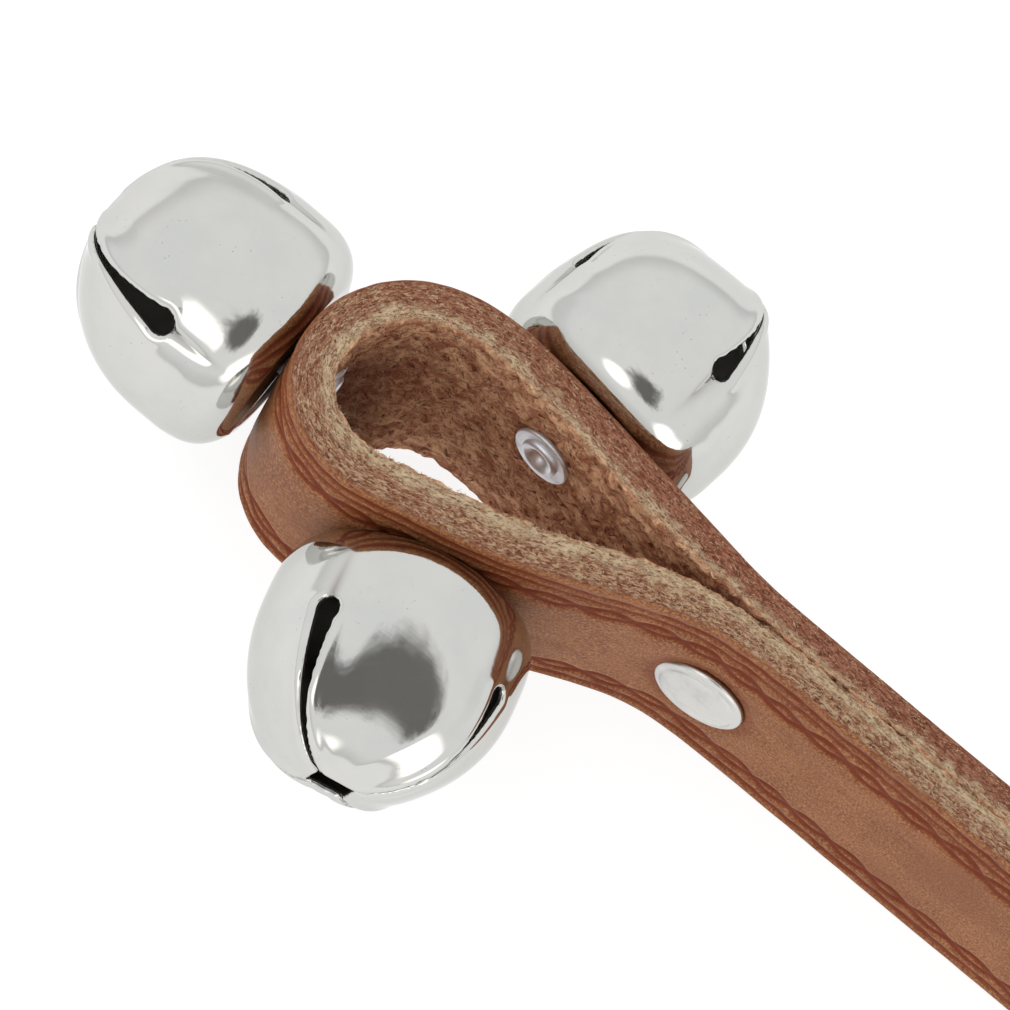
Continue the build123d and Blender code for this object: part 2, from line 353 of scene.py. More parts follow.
def tooling(along, inset, upper):
    """Depth share, 0 to 1, of the tooled border at a distance from the nearer edge."""
    lane = np.where(upper, UPPER_LANE, LOWER_LANE)
    chain = np.where(upper, CHAIN_INSETS[1], CHAIN_INSETS[0]) + waves(along, lane, CHAIN_WANDER)
    drift = along + waves(along, lane, CHAIN_DRIFT)
    swing = CHAIN_SWAY * np.abs(np.sin(math.pi * drift / CHAIN_PITCH))
    depth = hump(inset - (chain + swing), GROOVE_WIDTH)
    depth = np.maximum(depth, hump(inset - (chain - swing), GROOVE_WIDTH))
    for k, wander in enumerate(LINE_WANDER):
        line = np.where(upper, LINE_INSETS[1][k], LINE_INSETS[0][k])
        sway = waves(along, lane + k, wander)
        press = 0.8 + waves(along, lane + k, LINE_PRESS)
        depth = np.maximum(depth, press * hump(inset - line - sway, GROOVE_WIDTH * 0.9))
    return depth * (0.8 + 0.2 * lattice_noise(along / 1.1, inset / 1.1, 17))


def corner_arc(radius, centre, start, count):
    turns = np.radians(start + np.linspace(0, 90, count + 2)[1:-1])
    return [(centre[0] + radius * math.cos(t), centre[1] + radius * math.sin(t)) for t in turns]


def section_outline(thickness, width):
    """Cross-section of the strap as (distance outwards, height from mid-width) rows, from the grain
    side's lower corner round by the top."""
    half_t, half_w = thickness / 2, width / 2
    grain_t, grain_w = half_t - GRAIN_ROUND, half_w - GRAIN_ROUND
    flesh_t, flesh_w = half_t - FLESH_ROUND, half_w - FLESH_ROUND
    top = np.linspace(grain_t, -flesh_t, EDGE_COLUMNS)
    rows = [(half_t, z) for z in np.linspace(-grain_w, grain_w, GRAIN_COLUMNS)]
    rows += corner_arc(GRAIN_ROUND, (grain_t, grain_w), 0, GRAIN_TURNS)
    rows += [(u, half_w) for u in top]
    rows += corner_arc(FLESH_ROUND, (-flesh_t, flesh_w), 90, FLESH_TURNS)
    rows += [(-half_t, z) for z in np.linspace(flesh_w, -flesh_w, FLESH_COLUMNS)]
    rows += corner_arc(FLESH_ROUND, (-flesh_t, -flesh_w), 180, FLESH_TURNS)
    rows += [(u, -half_w) for u in top[::-1]]
    rows += corner_arc(GRAIN_ROUND, (grain_t, -grain_w), 270, GRAIN_TURNS)
    return np.array(rows)


def bell_pose(name):
    """Centre of a bell in millimetres, and its axis, pointing away from the leather."""
    pivot = next(j for j in frame["joints"] if j["name"] == f"{name}_bell_swivel")
    return np.array(pivot["pos_m"]) / MM, np.array(pivot["axis"])


def cap_places(name):
    """Seats of a cap rivet's two caps: front seat, back seat, and the axis out of the front."""
    x, lift, lean = CAP_RIVETS[name]
    turn = math.radians(lean)
    axis = np.array([math.sin(turn), -math.cos(turn), 0])
    half = len(route.along) // 2
    faces = route.middle + route.normal * route.thickness[:, None] / 2
    front = half + np.argmin(np.abs(route.middle[half:, 0] - x))
    back = np.argmin(np.abs(route.middle[:half, 0] - x))
    grip = faces[back, 1] - faces[front, 1] - 2 * PRESS_DEPTH
    seat = np.append(faces[front] + SHIFT, MID_Z + lift) - axis * PRESS_DEPTH
    return seat, seat - axis * grip, axis, grip


def seats():
    """(length along the route, height, side of the leather, pressed radius) of every fastening."""
    found = []
    for name in BELL_TURNS:
        centre, normal = bell_pose(name)
        along = route.nearest((centre - normal * (SEAT_REACH + LOOP_LEATHER / 2))[:2])
        found.append((along, centre[2], -1, WASHER_RADIUS))
    for name in CAP_RIVETS:
        front, back, axis, _ = cap_places(name)
        for place, inward in ((front, -axis), (back, axis)):
            along = route.nearest((place + inward * HANDLE_LEATHER / 2)[:2])
            found.append((along, place[2], 1, CAP_RADIUS))
    return found


SEATS = seats()


def strap_profile():
    """Cross-section at every ring of the strap: outwards and upwards, as ring by column."""
    thick, thin = (section_outline(t, STRAP_WIDTH) for t in (LOOP_LEATHER, HANDLE_LEATHER))
    share = ((LOOP_LEATHER - route.thickness) / (LOOP_LEATHER - HANDLE_LEATHER))[:, None, None]
    profile = thick[None] * (1 - share) + thin[None] * share
    return profile[..., 0].copy(), profile[..., 1].copy()


def end_squeeze():
    """Share of the width left at every ring by the handle's rounded far corners."""
    to_end = np.minimum(route.along, route.length - route.along)
    cut = np.clip(END_CORNER - to_end, 0, END_CORNER)
    drop = END_CORNER - np.sqrt(np.maximum(END_CORNER ** 2 - cut ** 2, 0))
    return (1 - drop / (STRAP_WIDTH / 2))[:, None]


def bend_share():
    """From 0 where the strap is straight to 1 in the tight bend, at every ring."""
    turn = np.unwrap(np.arctan2(route.tangent[:, 1], route.tangent[:, 0]))
    return smoothstep(0.02, 0.1, np.abs(np.gradient(turn, route.along)))[:, None]


def press_round_seats(along, out, up, half_t, grain, flesh):
    """Press the leather flat under every fastening, and pull it in round them."""
    dish = np.zeros_like(out)
    for seat_along, seat_z, side, radius in SEATS:
        reach = np.hypot(along - seat_along, up + MID_Z - seat_z)
        mask = grain if side == 1 else flesh
        pressed = np.minimum(side * out, half_t - PRESS_DEPTH - 0.12)
        sunk = smoothstep(radius + 0.25, radius - 0.05, reach) * mask
        out = out * (1 - sunk) + side * pressed * sunk
        ring = hump(reach - radius - DISH_WIDTH, DISH_WIDTH) * mask
        out -= side * DISH_DEPTH * ring * (reach > radius)
        dish = np.maximum(dish, ring)
    return out, dish


def build_strap():
    out, up = strap_profile()
    rings, count = out.shape
    along = np.repeat(route.along[:, None], count, 1)
    from_middle = along - route.length / 2
    half_t = route.thickness[:, None] / 2
    inset = STRAP_WIDTH / 2 - np.abs(up)
    grain = smoothstep(half_t - 0.5, half_t - 0.02, out)
    flesh = smoothstep(-half_t + 0.4, -half_t + 0.02, out)
    edge = smoothstep(0.5, 0.03, inset)
    up *= end_squeeze()
    # grain side
    tool = tooling(along, inset, up > 0) * grain * smoothstep(0.6, 1.1, inset)
    out -= GROOVE_DEPTH * tool
    out -= EDGE_DROP * grain * (1 - smoothstep(0, EDGE_DROP_REACH, inset))
    out += PUFF * (smoothstep(4.4, 6.2, inset) * smoothstep(8.0, 6.2, inset) * grain)
    out += WRINKLE * grain * (lattice_noise(along / 1.1, up / 6, 21) * bend_share())
    out += PEBBLE * grain * lattice_noise(along / 2.4, up / 2.4, 22)
    # flesh side and cut edges
    fibres = lattice_noise(along / 1.1, up / 0.8, 23) + 0.8 * lattice_noise(along / 0.6, up / 0.6, 24)
    out += FLESH_FUZZ * flesh * (1 - grain) * fibres
    out -= SWELL_DEPTH * flesh * hump(from_middle - SWELL_PLACE, SWELL_SPREAD) * smoothstep(6, -14, up)
    rough = lattice_noise(along / 0.8, out / 0.35, 25)
    rough += 0.8 * lattice_noise(along / 0.45, out / 0.45, 26)
    up += np.sign(up) * edge * (EDGE_FUZZ * rough - 0.1)
    out, dish = press_round_seats(along, out, up, half_t, grain, flesh)
    plan = route.middle[:, None, :] + route.normal[:, None, :] * out[..., None] + SHIFT
    verts = np.concatenate([plan, up[..., None] + MID_Z], -1).reshape(-1, 3)
    ids = np.arange(rings * count).reshape(rings, count)
    faces = tube_quads(ids) + [ids[0][::-1].tolist(), ids[-1].tolist()]
    strap = mesh_object("strap_leather", verts, faces)
    # painted shade on the flesh side in the bend, fading out towards the upper edge
    fold_shade = hump(from_middle - FOLD_SHADE_PLACE, FOLD_SHADE_SPREAD) * smoothstep(STRAP_WIDTH / 2, 0, up)
    masks = {"tool": tool, "grain": grain, "flesh": flesh, "dish": dish, "fold_shade": fold_shade,
             "bleached": smoothstep(0.3, 0.62, along / route.length),
             "depth": (half_t - out) / (2 * half_t)}
    for name, values in masks.items():
        point_attribute(strap, name, values)
    lay = np.stack([along, up, out], -1) * 0.1
    point_attribute(strap, "lay", lay, "FLOAT_VECTOR", "vector")
    return strap


def tapered_hairs(name, roots, directions, lengths, droop, seed):
    """Fine fibres as three-sided tapered tubes in one mesh."""
    dice = np.random.default_rng(seed)
    count = len(roots)
    side = dice.normal(size=(count, 3))
    side -= directions * np.sum(side * directions, 1)[:, None]
    side /= np.linalg.norm(side, axis=1)[:, None]
    other = np.cross(directions, side)
    verts = np.zeros((count, FIBRE_JOINTS, 3, 3))
    for j, step in enumerate(np.linspace(0, 1, FIBRE_JOINTS)):
        bow = (droop * lengths * step ** 2)[:, None]
        spine = roots + directions * (lengths * step)[:, None] + side * bow
        thick = FIBRE_RADIUS * (1 - 0.85 * step)
        for k in range(3):
            turn = 2 * math.pi * k / 3
            verts[:, j, k] = spine + (side * math.cos(turn) + other * math.sin(turn)) * thick
    verts[..., 2] = np.maximum(verts[..., 2], FIBRE_LOWEST)
    ids = np.arange(count * FIBRE_JOINTS * 3).reshape(count, FIBRE_JOINTS, 3)
    tips = ids[:, -1].reshape(-1, 3).tolist()
    obj = mesh_object(name, verts.reshape(-1, 3), tube_quads(ids) + tips)
    point_attribute(obj, "shade", np.repeat(dice.uniform(0, 1, count), FIBRE_JOINTS * 3))
    return obj


def scatter(kind, dice, half_t, top):
    """Roots of one kind of fibre: outwards from the middle line, and up from mid-width."""
    count = len(half_t)
    if kind == "corner":
        out = -half_t + np.abs(dice.normal(0, 0.35, count))
        return out, top * (STRAP_WIDTH / 2 - np.abs(dice.normal(0, 0.25, count)) - 0.08)
    if kind == "face":
        return -half_t + 0.03, dice.uniform(-0.46, 0.46, count) * STRAP_WIDTH
    return dice.uniform(-0.95, 0.75, count) * half_t, top * (STRAP_WIDTH / 2 - 0.1)


def build_fringe():
    """Loose fibres along both flesh-side corners, across the flesh face and on the cut edges."""
    dice = np.random.default_rng(31)
    kinds = []
    for kind, (count, spread, lean_out, lean_up, lengths) in FIBRES.items():
        along = dice.uniform(0.5, route.length - 0.5, count)
        middle = route.at(along, route.middle)
        flat = np.zeros((count, 1))
        normal = np.concatenate([route.at(along, route.normal), flat], 1)
        tangent = np.concatenate([route.at(along, route.tangent), flat], 1)
        top = np.where(dice.uniform(size=count) < UPPER_SHARE, 1.0, -1.0)
        out, up = scatter(kind, dice, leather_at(middle[:, 0]) / 2, top)
        lean = dice.normal(0, 1, (count, 3)) * spread + [0, lean_out, 0]
        lean[:, 2] += lean_up * top
        low = up < -0.35 * STRAP_WIDTH if kind == "face" else top < 0
        length = dice.uniform(*lengths, count) * np.where(low, LOWER_LENGTH, 1)
        to_end = np.minimum(along, route.length - along)
        keep = (to_end > END_CORNER) | (kind == "face") & (to_end > 3) & (np.abs(up) < 6)
        clear = [np.hypot(along - seat_along, up + MID_Z - seat_z) > radius + 0.4
                 for seat_along, seat_z, side, radius in SEATS if side == -1]
        keep &= np.all(clear, 0) | (kind != "face")
        plan = middle + normal[:, :2] * out[:, None] + SHIFT
        root = np.concatenate([plan, (up + MID_Z)[:, None]], 1)
        direction = tangent * lean[:, :1] + normal * lean[:, 1:2] + np.array([[0, 0, 1.0]]) * lean[:, 2:]
        direction /= np.linalg.norm(direction, axis=1)[:, None]
        droop = dice.uniform(-0.5, 0.5, count)
        kinds.append([values[keep] for values in (root, direction, length, droop)])
    return tapered_hairs("strap_fringe", *(np.concatenate(values) for values in zip(*kinds)), 32)


# ---- turned metal pieces ----
def lathe(name, rows, origin, axis):
    """Surface of revolution from (radius, height) rows in millimetres, closed on the axis."""
    basis = Vector(axis).normalized().to_track_quat("Z", "Y").to_matrix()
    turns = [2 * math.pi * k / LATHE_TURNS for k in range(LATHE_TURNS)]
    bm = bmesh.new()
    rings = []
    for radius, height in rows:
        spokes = turns if radius > 0 else turns[:1]
        spots = [Vector((radius * math.cos(t), radius * math.sin(t), height)) for t in spokes]
        rings.append([bm.verts.new(Vector(origin) + basis @ spot) for spot in spots])
    for low, high in zip(rings, rings[1:]):
        for k in range(LATHE_TURNS):
            n = k + 1
            corners = [low[k % len(low)], low[n % len(low)], high[n % len(high)], high[k % len(high)]]
            unique = list(dict.fromkeys(corners))
            if len(unique) > 2:
                bm.faces.new(unique)
    bmesh.ops.recalc_face_normals(bm, faces=bm.faces)
    bmesh.ops.scale(bm, vec=(MM, MM, MM), verts=bm.verts)
    return bmesh_object(name, bm)


def arc_rows(centre, radius, start, end, count):
    turns = np.radians(np.linspace(start, end, count))
    return [(centre[0] + radius * math.cos(t), centre[1] + radius * math.sin(t)) for t in turns]


def cap_rows():
    """Domed rivet cap: rolled rim and a shallow dome, from the underside's rim to the pole."""
    rows = [(CAP_RADIUS - 0.5, 0.0)]
    rows += arc_rows((CAP_RADIUS - CAP_RIM, CAP_RIM), CAP_RIM, -70, 60, 10)
    edge_r, edge_h = rows[-1]
    for share in np.concatenate([np.linspace(0.975, 0.76, 14), np.linspace(0.7, 0, 9)]):
        dip = CAP_GROOVE * math.exp(-((share - 0.9) / 0.045) ** 2)
        rows.append((edge_r * share, edge_h + (CAP_HEIGHT - edge_h) * (1 - share ** 3.2) - dip))
    return rows


def build_caps(name):
    front, back, axis, grip = cap_places(name)
    pin = [(0, -grip / 2), (PIN_RADIUS, -grip / 2), (PIN_RADIUS, 0.0)]
    tube = grip - 0.03
    post = [(0, 0.0), (PIN_RADIUS + 0.03, 0.0), (PIN_RADIUS + 0.03, -tube)]
    post += [(POST_RADIUS, -tube), (POST_RADIUS, 0.0)]
    first = lathe(f"{name}_cap_front", pin + cap_rows(), front, axis)
    second = lathe(f"{name}_cap_back", post + cap_rows(), back, -axis)
    return first, second


def washer_rows():
    """Washer lying under the flesh side, seat on the leather at the top."""
    top = -(LOOP_LEATHER - PRESS_DEPTH)
    face = top - WASHER_THICKNESS
    rows = [(WASHER_BORE, top), (WASHER_RADIUS - 0.1, top), (WASHER_RADIUS, top - 0.1)]
    rows += arc_rows((WASHER_RADIUS - 0.25, face + 0.25), 0.25, 0, -90, 6)
    rows += [(2.7, face + 0.04), (2.3, face), (WASHER_BORE, face), (WASHER_BORE, top)]
    return rows


def rivet_rows():
    """Tubular rivet: head inside the bell, shank, rolled end and its dark bore."""
    face = -(LOOP_LEATHER - PRESS_DEPTH) - WASHER_THICKNESS
    rows = [(0, HEAD_TOP), (HEAD_RADIUS * 0.5, HEAD_TOP - 0.03)]
    rows += arc_rows((HEAD_RADIUS - 0.8, HEAD_BASE + 0.4), 0.8, 90, 0, 8)
    rows += [(HEAD_RADIUS, HEAD_BASE), (SHANK_RADIUS, HEAD_BASE), (SHANK_RADIUS, face)]
    rows += arc_rows((ROLL_RADIUS - ROLL_ROUND, face), ROLL_ROUND, 0, -125, 10)
    rows += [(BORE_RADIUS + 0.14, face - 0.1), (BORE_RADIUS - 0.1, face + 0.25)]
    rows += [(BORE_RADIUS - 0.35, face + 0.6), (0, face + 0.7)]
    return rows


def build_fastening(name):
    centre, normal = bell_pose(name)
    seat = centre - normal * SEAT_REACH
    rivet = lathe(f"{name}_rivet", rivet_rows(), seat, normal)
    washer = lathe(f"{name}_washer", washer_rows(), seat, normal)
    return rivet, washer


def build_pellet(name):
    low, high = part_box(f"{name}_bell_pellet")
    middle = (np.array(low) + np.array(high)) / 2
    bm = bmesh.new()
    bmesh.ops.create_icosphere(bm, subdivisions=5, radius=PELLET_RADIUS * MM)
    for vert in bm.verts:
        spot = np.array(vert.co) / MM
        dent = 0.03 * lattice_noise(spot[0] + 9, spot[1] * 1.3 + spot[2] * 0.7 + 9, 61)
        vert.co *= 1 - 0.008 + float(dent) * 0.2
    bmesh.ops.translate(bm, vec=middle, verts=bm.verts)
    return bmesh_object(f"{name}_pellet_ball", bm)


# ---- bell shells ----
def slit_half_width(height, slit):
    """Half the slit's width at a height: the round end, a taper to the throat, and on to the mouth."""
    end_radius, throat, waist, mouth = slit
    centre = SLIT_FOOT + end_radius
    inside = np.clip(end_radius ** 2 - (height - centre) ** 2, 0, None)
    bulb = np.sqrt(inside) * (height > SLIT_FOOT)
    leave = centre + LEAVE_SHARE * end_radius
    start = end_radius * math.sqrt(1 - LEAVE_SHARE ** 2)
    share = np.clip((height - leave) / (throat - leave), 0, 1)
    taper = start + (waist - start) * share ** 0.8
    upper = np.clip((height - throat) / (MOUTH_HEIGHT - throat), 0, 1)
    taper = np.where(height > throat, waist + (mouth - waist) * upper, taper)
    return np.where(height < leave, bulb, taper)


def ridge_at(height):
    share = np.clip(height / PETAL_PEAK, 0, 1)
    return BELL_RADIUS * (1 - share ** PETAL_POWER) ** (1 / PETAL_POWER)


def petal_radius(height, from_middle):
    """Radius on a ray at an angle from the middle of a petal."""
    ridge = ridge_at(height)
    share = np.clip(height, 0, None) / MOUTH_HEIGHT
    middle = ridge * (1 - (1 - MOUTH_SHARE) * share ** PETAL_POWER)
    behind = (ridge ** 2 - middle ** 2) / (2 * middle - math.sqrt(2) * ridge)
    bow = middle + behind
    return -behind * np.cos(from_middle) + np.sqrt(bow ** 2 - (behind * np.sin(from_middle)) ** 2)


def shell_heights():
    """Heights of the rows above the widest ring, close together round the slits' ends."""
    turns = np.radians(np.linspace(0, 90, 62))
    rows = PETAL_PEAK * np.sin(turns) ** (2 / PETAL_POWER)
    near = SLIT_FOOT + 1.2 * (1 - np.cos(np.radians(np.linspace(0, 80, 14))))
    below = np.linspace(0, SLIT_FOOT, 8)
    low = np.linspace(near[-1], 5.0, 10)[1:]
    rows = rows[(rows > 5.1) & (rows < MOUTH_HEIGHT - 0.04)]
    return np.concatenate([below[:-1], near, low, rows, [MOUTH_HEIGHT]])


def lip_distance(side, height, slit):
    """Distance from points beside a slit to its edge."""
    steps = np.concatenate([np.linspace(0, 0.3, 12) ** 2 * 12, np.linspace(1.1, MOUTH_HEIGHT, 56)])
    marks = SLIT_FOOT + steps
    widths = slit_half_width(marks, slit)
    gap = np.hypot(side[..., None] - widths, height[..., None] - marks)
    return gap.min(-1)


def cup_heights():
    """Heights of the rows from the flat seat to just below the widest ring."""
    foot = math.acos((CUP_DEPTH / CUP_POLE) ** (CUP_POWER / 2))
    turns = np.linspace(foot, math.pi / 2, CUP_ROWS)[:-1]
    return -CUP_POLE * np.cos(turns) ** (2 / CUP_POWER)


def polar(angle, radius, height):
    spots = np.broadcast_arrays(np.cos(angle) * radius, np.sin(angle) * radius, height)
    return np.stack(spots, -1)


def quarter_grid(heights, near, far):
    """Points and outward directions of a quarter of the shell, from one slit's edge to the next:
    rings on the flat seat, then cup and petal, then the flat ring round the mouth."""
    u = np.linspace(0, 1, PETAL_COLUMNS)
    share = 0.62 * (1 - np.cos(math.pi * u)) / 2 + 0.38 * u
    ridge = np.where(heights < 0, BELL_RADIUS, ridge_at(heights))
    first = np.arcsin(slit_half_width(heights, near) / ridge)
    last = math.pi / 2 - np.arcsin(slit_half_width(heights, far) / ridge)
    angle = first[:, None] + (last - first)[:, None] * share[None]
    tall = np.broadcast_to(heights[:, None], angle.shape)
    cup = BELL_RADIUS * (1 - (np.clip(-tall, 0, None) / CUP_POLE) ** CUP_POWER) ** (1 / CUP_POWER)
    radius = np.where(tall < 0, cup, petal_radius(tall, angle - math.pi / 4))
    pole = np.where(tall < 0, CUP_POLE, PETAL_PEAK)
    power = np.where(tall < 0, CUP_POWER, PETAL_POWER)
    outward = (radius / BELL_RADIUS) ** (power - 1) / BELL_RADIUS
    upward = np.sign(tall) * (np.abs(tall) / pole) ** (power - 1) / pole
    normal = polar(angle, outward, upward)
    normal = normal / np.linalg.norm(normal, axis=-1, keepdims=True)
    seat = polar(share * math.pi / 2, SEAT_RADII[:, None], -CUP_DEPTH)
    top_angle = angle[-1]
    mouth_edge = MOUTH_CORNER / (np.cos(top_angle) + np.sin(top_angle))
    top = polar(top_angle, radius[-1] + (mouth_edge - radius[-1]) * MOUTH_SHARES[:, None], MOUTH_HEIGHT)
    down, up = (np.broadcast_to([0, 0, way], ring.shape) for way, ring in ((-1.0, seat), (1.0, top)))
    return np.concatenate([seat, polar(angle, radius, tall), top]), np.concatenate([down, normal, up])


def free_edge_distance(spot, near, far):
    """Distance from points of a petal to its free edges, along the slits and round the mouth."""
    x, y, height = (spot[..., k] for k in range(3))
    lip = np.minimum(lip_distance(np.abs(y), height, near), lip_distance(np.abs(x), height, far))
    lip = np.where(height < SLIT_FOOT - 1.5, FAR_AWAY, lip)
    rim = (x + y) / math.sqrt(2) - MOUTH_CORNER / math.sqrt(2)
    rim = np.where(height > MOUTH_HEIGHT - 0.5, rim, FAR_AWAY)
    return np.minimum(lip, np.clip(rim, 0, None))


def slit_creases(spot):
    """Creases running on below the slits, and the flare beside the slits' feet, both 0 to 1."""
    height = spot[..., 2]
    beside = np.minimum(np.abs(spot[..., 0]), np.abs(spot[..., 1]))
    run = np.clip((SLIT_FOOT - height) / CREASE_LENGTH, 0, 1)
    crease = np.exp(-np.abs(beside / CREASE_WIDTH) ** 1.5) * (1 - run) ** 1.2
    crease *= smoothstep(SLIT_FOOT + 1.6, SLIT_FOOT, height) * (height > -CREASE_LENGTH)
    flare = hump(beside, FLARE_WIDTH) * (1 - run) * smoothstep(5.0, 1.7, height)
    return crease, flare


def flattening(name, quarter, spot):
    """How far both faces of the wall are sunk in the middle of a petal."""
    degrees, height = np.degrees(np.arctan2(spot[..., 1], spot[..., 0])), spot[..., 2]
    if quarter == FLAT_PETAL:
        off = np.hypot((degrees - FLAT_TURN) * FLAT_PER_DEGREE, height - FLAT_HEIGHT)
        return FLAT_DEPTHS[name] * np.clip(1 - (off / FLAT_REACH) ** 2, 0, 1) ** 1.25
    round_bell = degrees * PANEL_PER_DEGREE - 45 * PANEL_PER_DEGREE
    off = np.hypot(round_bell, (height - PANEL_HEIGHT) * 1.1)
    return PANEL_DEPTH * np.exp(-(off / PANEL_SPREAD) ** 2 / 2)


def pressed_marks(name, quarter, spot, lip, folded):
    """How far the outer face is sunk by creases, unevenness and the beads beside the free edges."""
    turn = quarter * 90 + np.degrees(np.arctan2(spot[..., 1], spot[..., 0]))
    height = spot[..., 2]
    wave = lattice_noise(turn / 22.5 + 3, height / 5 + 7, 71 + len(name), 16)
    ripple = lattice_noise(turn / 9 + 5, height / 1.3 + 20, 81 + len(name), 40)
    shoulder = smoothstep(-8.0, -5.0, height) * smoothstep(1.0, -2.0, height)
    above = smoothstep(SLIT_FOOT - 0.6, SLIT_FOOT + 1.2, height)
    bead = hump(lip - BEAD_PLACE, BEAD_WIDTH) * above
    valley = hump(lip - VALLEY_PLACE, VALLEY_WIDTH) * above
    drop = CREASE_SHARES[name] * folded + WAVE_DEPTH * (wave + 1)
    drop += RIPPLE_DEPTHS[name] * shoulder * (ripple + 1)
    return drop + VALLEY_DEPTH * valley - BEAD_HEIGHT * bead


def build_shell(name):
    slits = SLITS[name]
    heights = np.concatenate([cup_heights(), shell_heights()])
    sheets = []
    for quarter in range(4):
        near, far = slits[quarter], slits[(quarter + 1) % 4]
        spot, normal = quarter_grid(heights, near, far)
        lip = free_edge_distance(spot, near, far)
        reach = np.clip(LIP_ROLL - lip, 0, LIP_ROLL)
        roll = LIP_ROLL - np.sqrt(LIP_ROLL ** 2 - reach ** 2)
        crease, flare = slit_creases(spot)
        folded = CREASE_DEPTH * crease * (lip > 0.02) + FLARE_DEPTH * flare
        drop = roll * 0.8 + pressed_marks(name, quarter, spot, lip, folded)
        sunk = flattening(name, quarter, spot)
        outer = spot - normal * (drop + sunk)[..., None]
        inner = spot - normal * (BELL_WALL + 0.02 - roll * 0.45 + sunk)[..., None]
        sheets.append((outer, inner, lip, crease))
    return stitch_shell(name, sheets, slits, heights)


def patch_quads(ids):
    corners = [ids[:-1, :-1], ids[:-1, 1:], ids[1:, 1:], ids[1:, :-1]]
    return np.stack(corners, -1).reshape(-1, 4).tolist()


def stitch_shell(name, sheets, slits, heights):
    """One closed skin from the four petals' outer and inner sheets."""
    centre, normal = bell_pose(name)
    turn = math.radians(BELL_TURNS[name])
    up = np.array([0, 0, 1.0])
    along_slit = up * math.cos(turn) + np.cross(normal, up) * math.sin(turn)
    across = np.cross(normal, along_slit)
    shape = (4, 2, *sheets[0][0].shape[:2])
    grid = np.arange(math.prod(shape)).reshape(shape)
    verts = np.zeros((*shape, 3))
    inside = np.zeros(shape)
    inside[:, 1] = 1
    seat_rows, mouth_rows = np.zeros(len(SEAT_RADII)), np.ones(len(MOUTH_SHARES))
    faces = []
    for quarter, (out, deep) in enumerate(grid):
        cosine, sine = math.cos(quarter * math.pi / 2), math.sin(quarter * math.pi / 2)
        for layer, sheet in enumerate(sheets[quarter][:2]):
            x = sheet[..., :1] * cosine - sheet[..., 1:2] * sine
            y = sheet[..., :1] * sine + sheet[..., 1:2] * cosine
            verts[quarter, layer] = centre + x * along_slit + y * across + sheet[..., 2:] * normal
        mouth, foot = np.stack([out[-1], deep[-1]]), np.stack([out[0], deep[0]])
        for patch in (out, deep.T, mouth, foot[:, ::-1]):
            faces += patch_quads(patch)
        # the cut edges, wherever a slit is open
        for column, slit in ((0, slits[quarter]), (-1, slits[(quarter + 1) % 4])):
            open_rows = np.concatenate([seat_rows, slit_half_width(heights, slit), mouth_rows]) > 0
            for k in np.flatnonzero(open_rows[1:] | open_rows[:-1]):
                quad = [out[k, column], out[k + 1, column], deep[k + 1, column], deep[k, column]]
                faces.append(quad if column else quad[::-1])
    shell = mesh_object(f"{name}_shell", verts.reshape(-1, 3), faces)
    point_attribute(shell, "lip", [[lip, lip] for _, _, lip, _ in sheets])
    point_attribute(shell, "crease", [[crease, crease] for _, _, _, crease in sheets])
    point_attribute(shell, "inside", inside)
    bm = bmesh.new()
    bm.from_mesh(shell.data)
    bmesh.ops.remove_doubles(bm, verts=bm.verts, dist=2e-7)
    bmesh.ops.recalc_face_normals(bm, faces=bm.faces)
    bm.to_mesh(shell.data)
    bm.free()
    shade_smooth(shell.data)
    return shell


# ---- materials ----
def srgb(red, green, blue):
    """Linear colour with alpha from 8-bit display values."""
    linear = []
    for value in (red, green, blue):
        v = value / 255
        linear.append(v / 12.92 if v <= 0.04045 else ((v + 0.055) / 1.055) ** 2.4)
    return (*linear, 1.0)


GRAIN_DARK = srgb(130, 79, 48)
GRAIN_LIGHT = srgb(152, 98, 62)
GRAIN_PALE = srgb(178, 128, 88)
GRAIN_DEEP = srgb(104, 56, 31)
GRAIN_STAIN = srgb(130, 80, 52)
TOOLED = srgb(114, 47, 26)
EDGE_DEEP = srgb(76, 38, 28)
EDGE_RED = srgb(162, 112, 88)
EDGE_DARK = srgb(118, 68, 50)
EDGE_MIDDLE = srgb(162, 119, 91)
EDGE_PALE = srgb(194, 168, 136)
FRINGE_PALE = srgb(208, 190, 156)
FLESH_DEEP = srgb(80, 40, 28)
FLESH_DARK = srgb(176, 116, 86)
FLESH_LIGHT = srgb(244, 196, 154)
NICKEL_COOL = (0.6, 0.608, 0.588, 1)
NICKEL_WARM = (0.635, 0.63, 0.605, 1)
RIVET_GREY = (0.5, 0.505, 0.505, 1)
# pale bluish nickel of the washers and bell rivets, raised near white as painted light so that they stay
# bright among the dark leather they reflect
WASHER_PAINTED_LIGHT = (0.9, 0.95, 1, 1)
STEEL_GREY = (0.52, 0.51, 0.49, 1)
TARNISH = (0.21, 0.19, 0.165, 1)

RANGE_SOCKETS = ("Value", "From Min", "From Max", "To Min", "To Max")
MIX_SOCKETS = {"RGBA": (6, 7, 2), "VECTOR": (4, 5, 1)}  # first, second, result


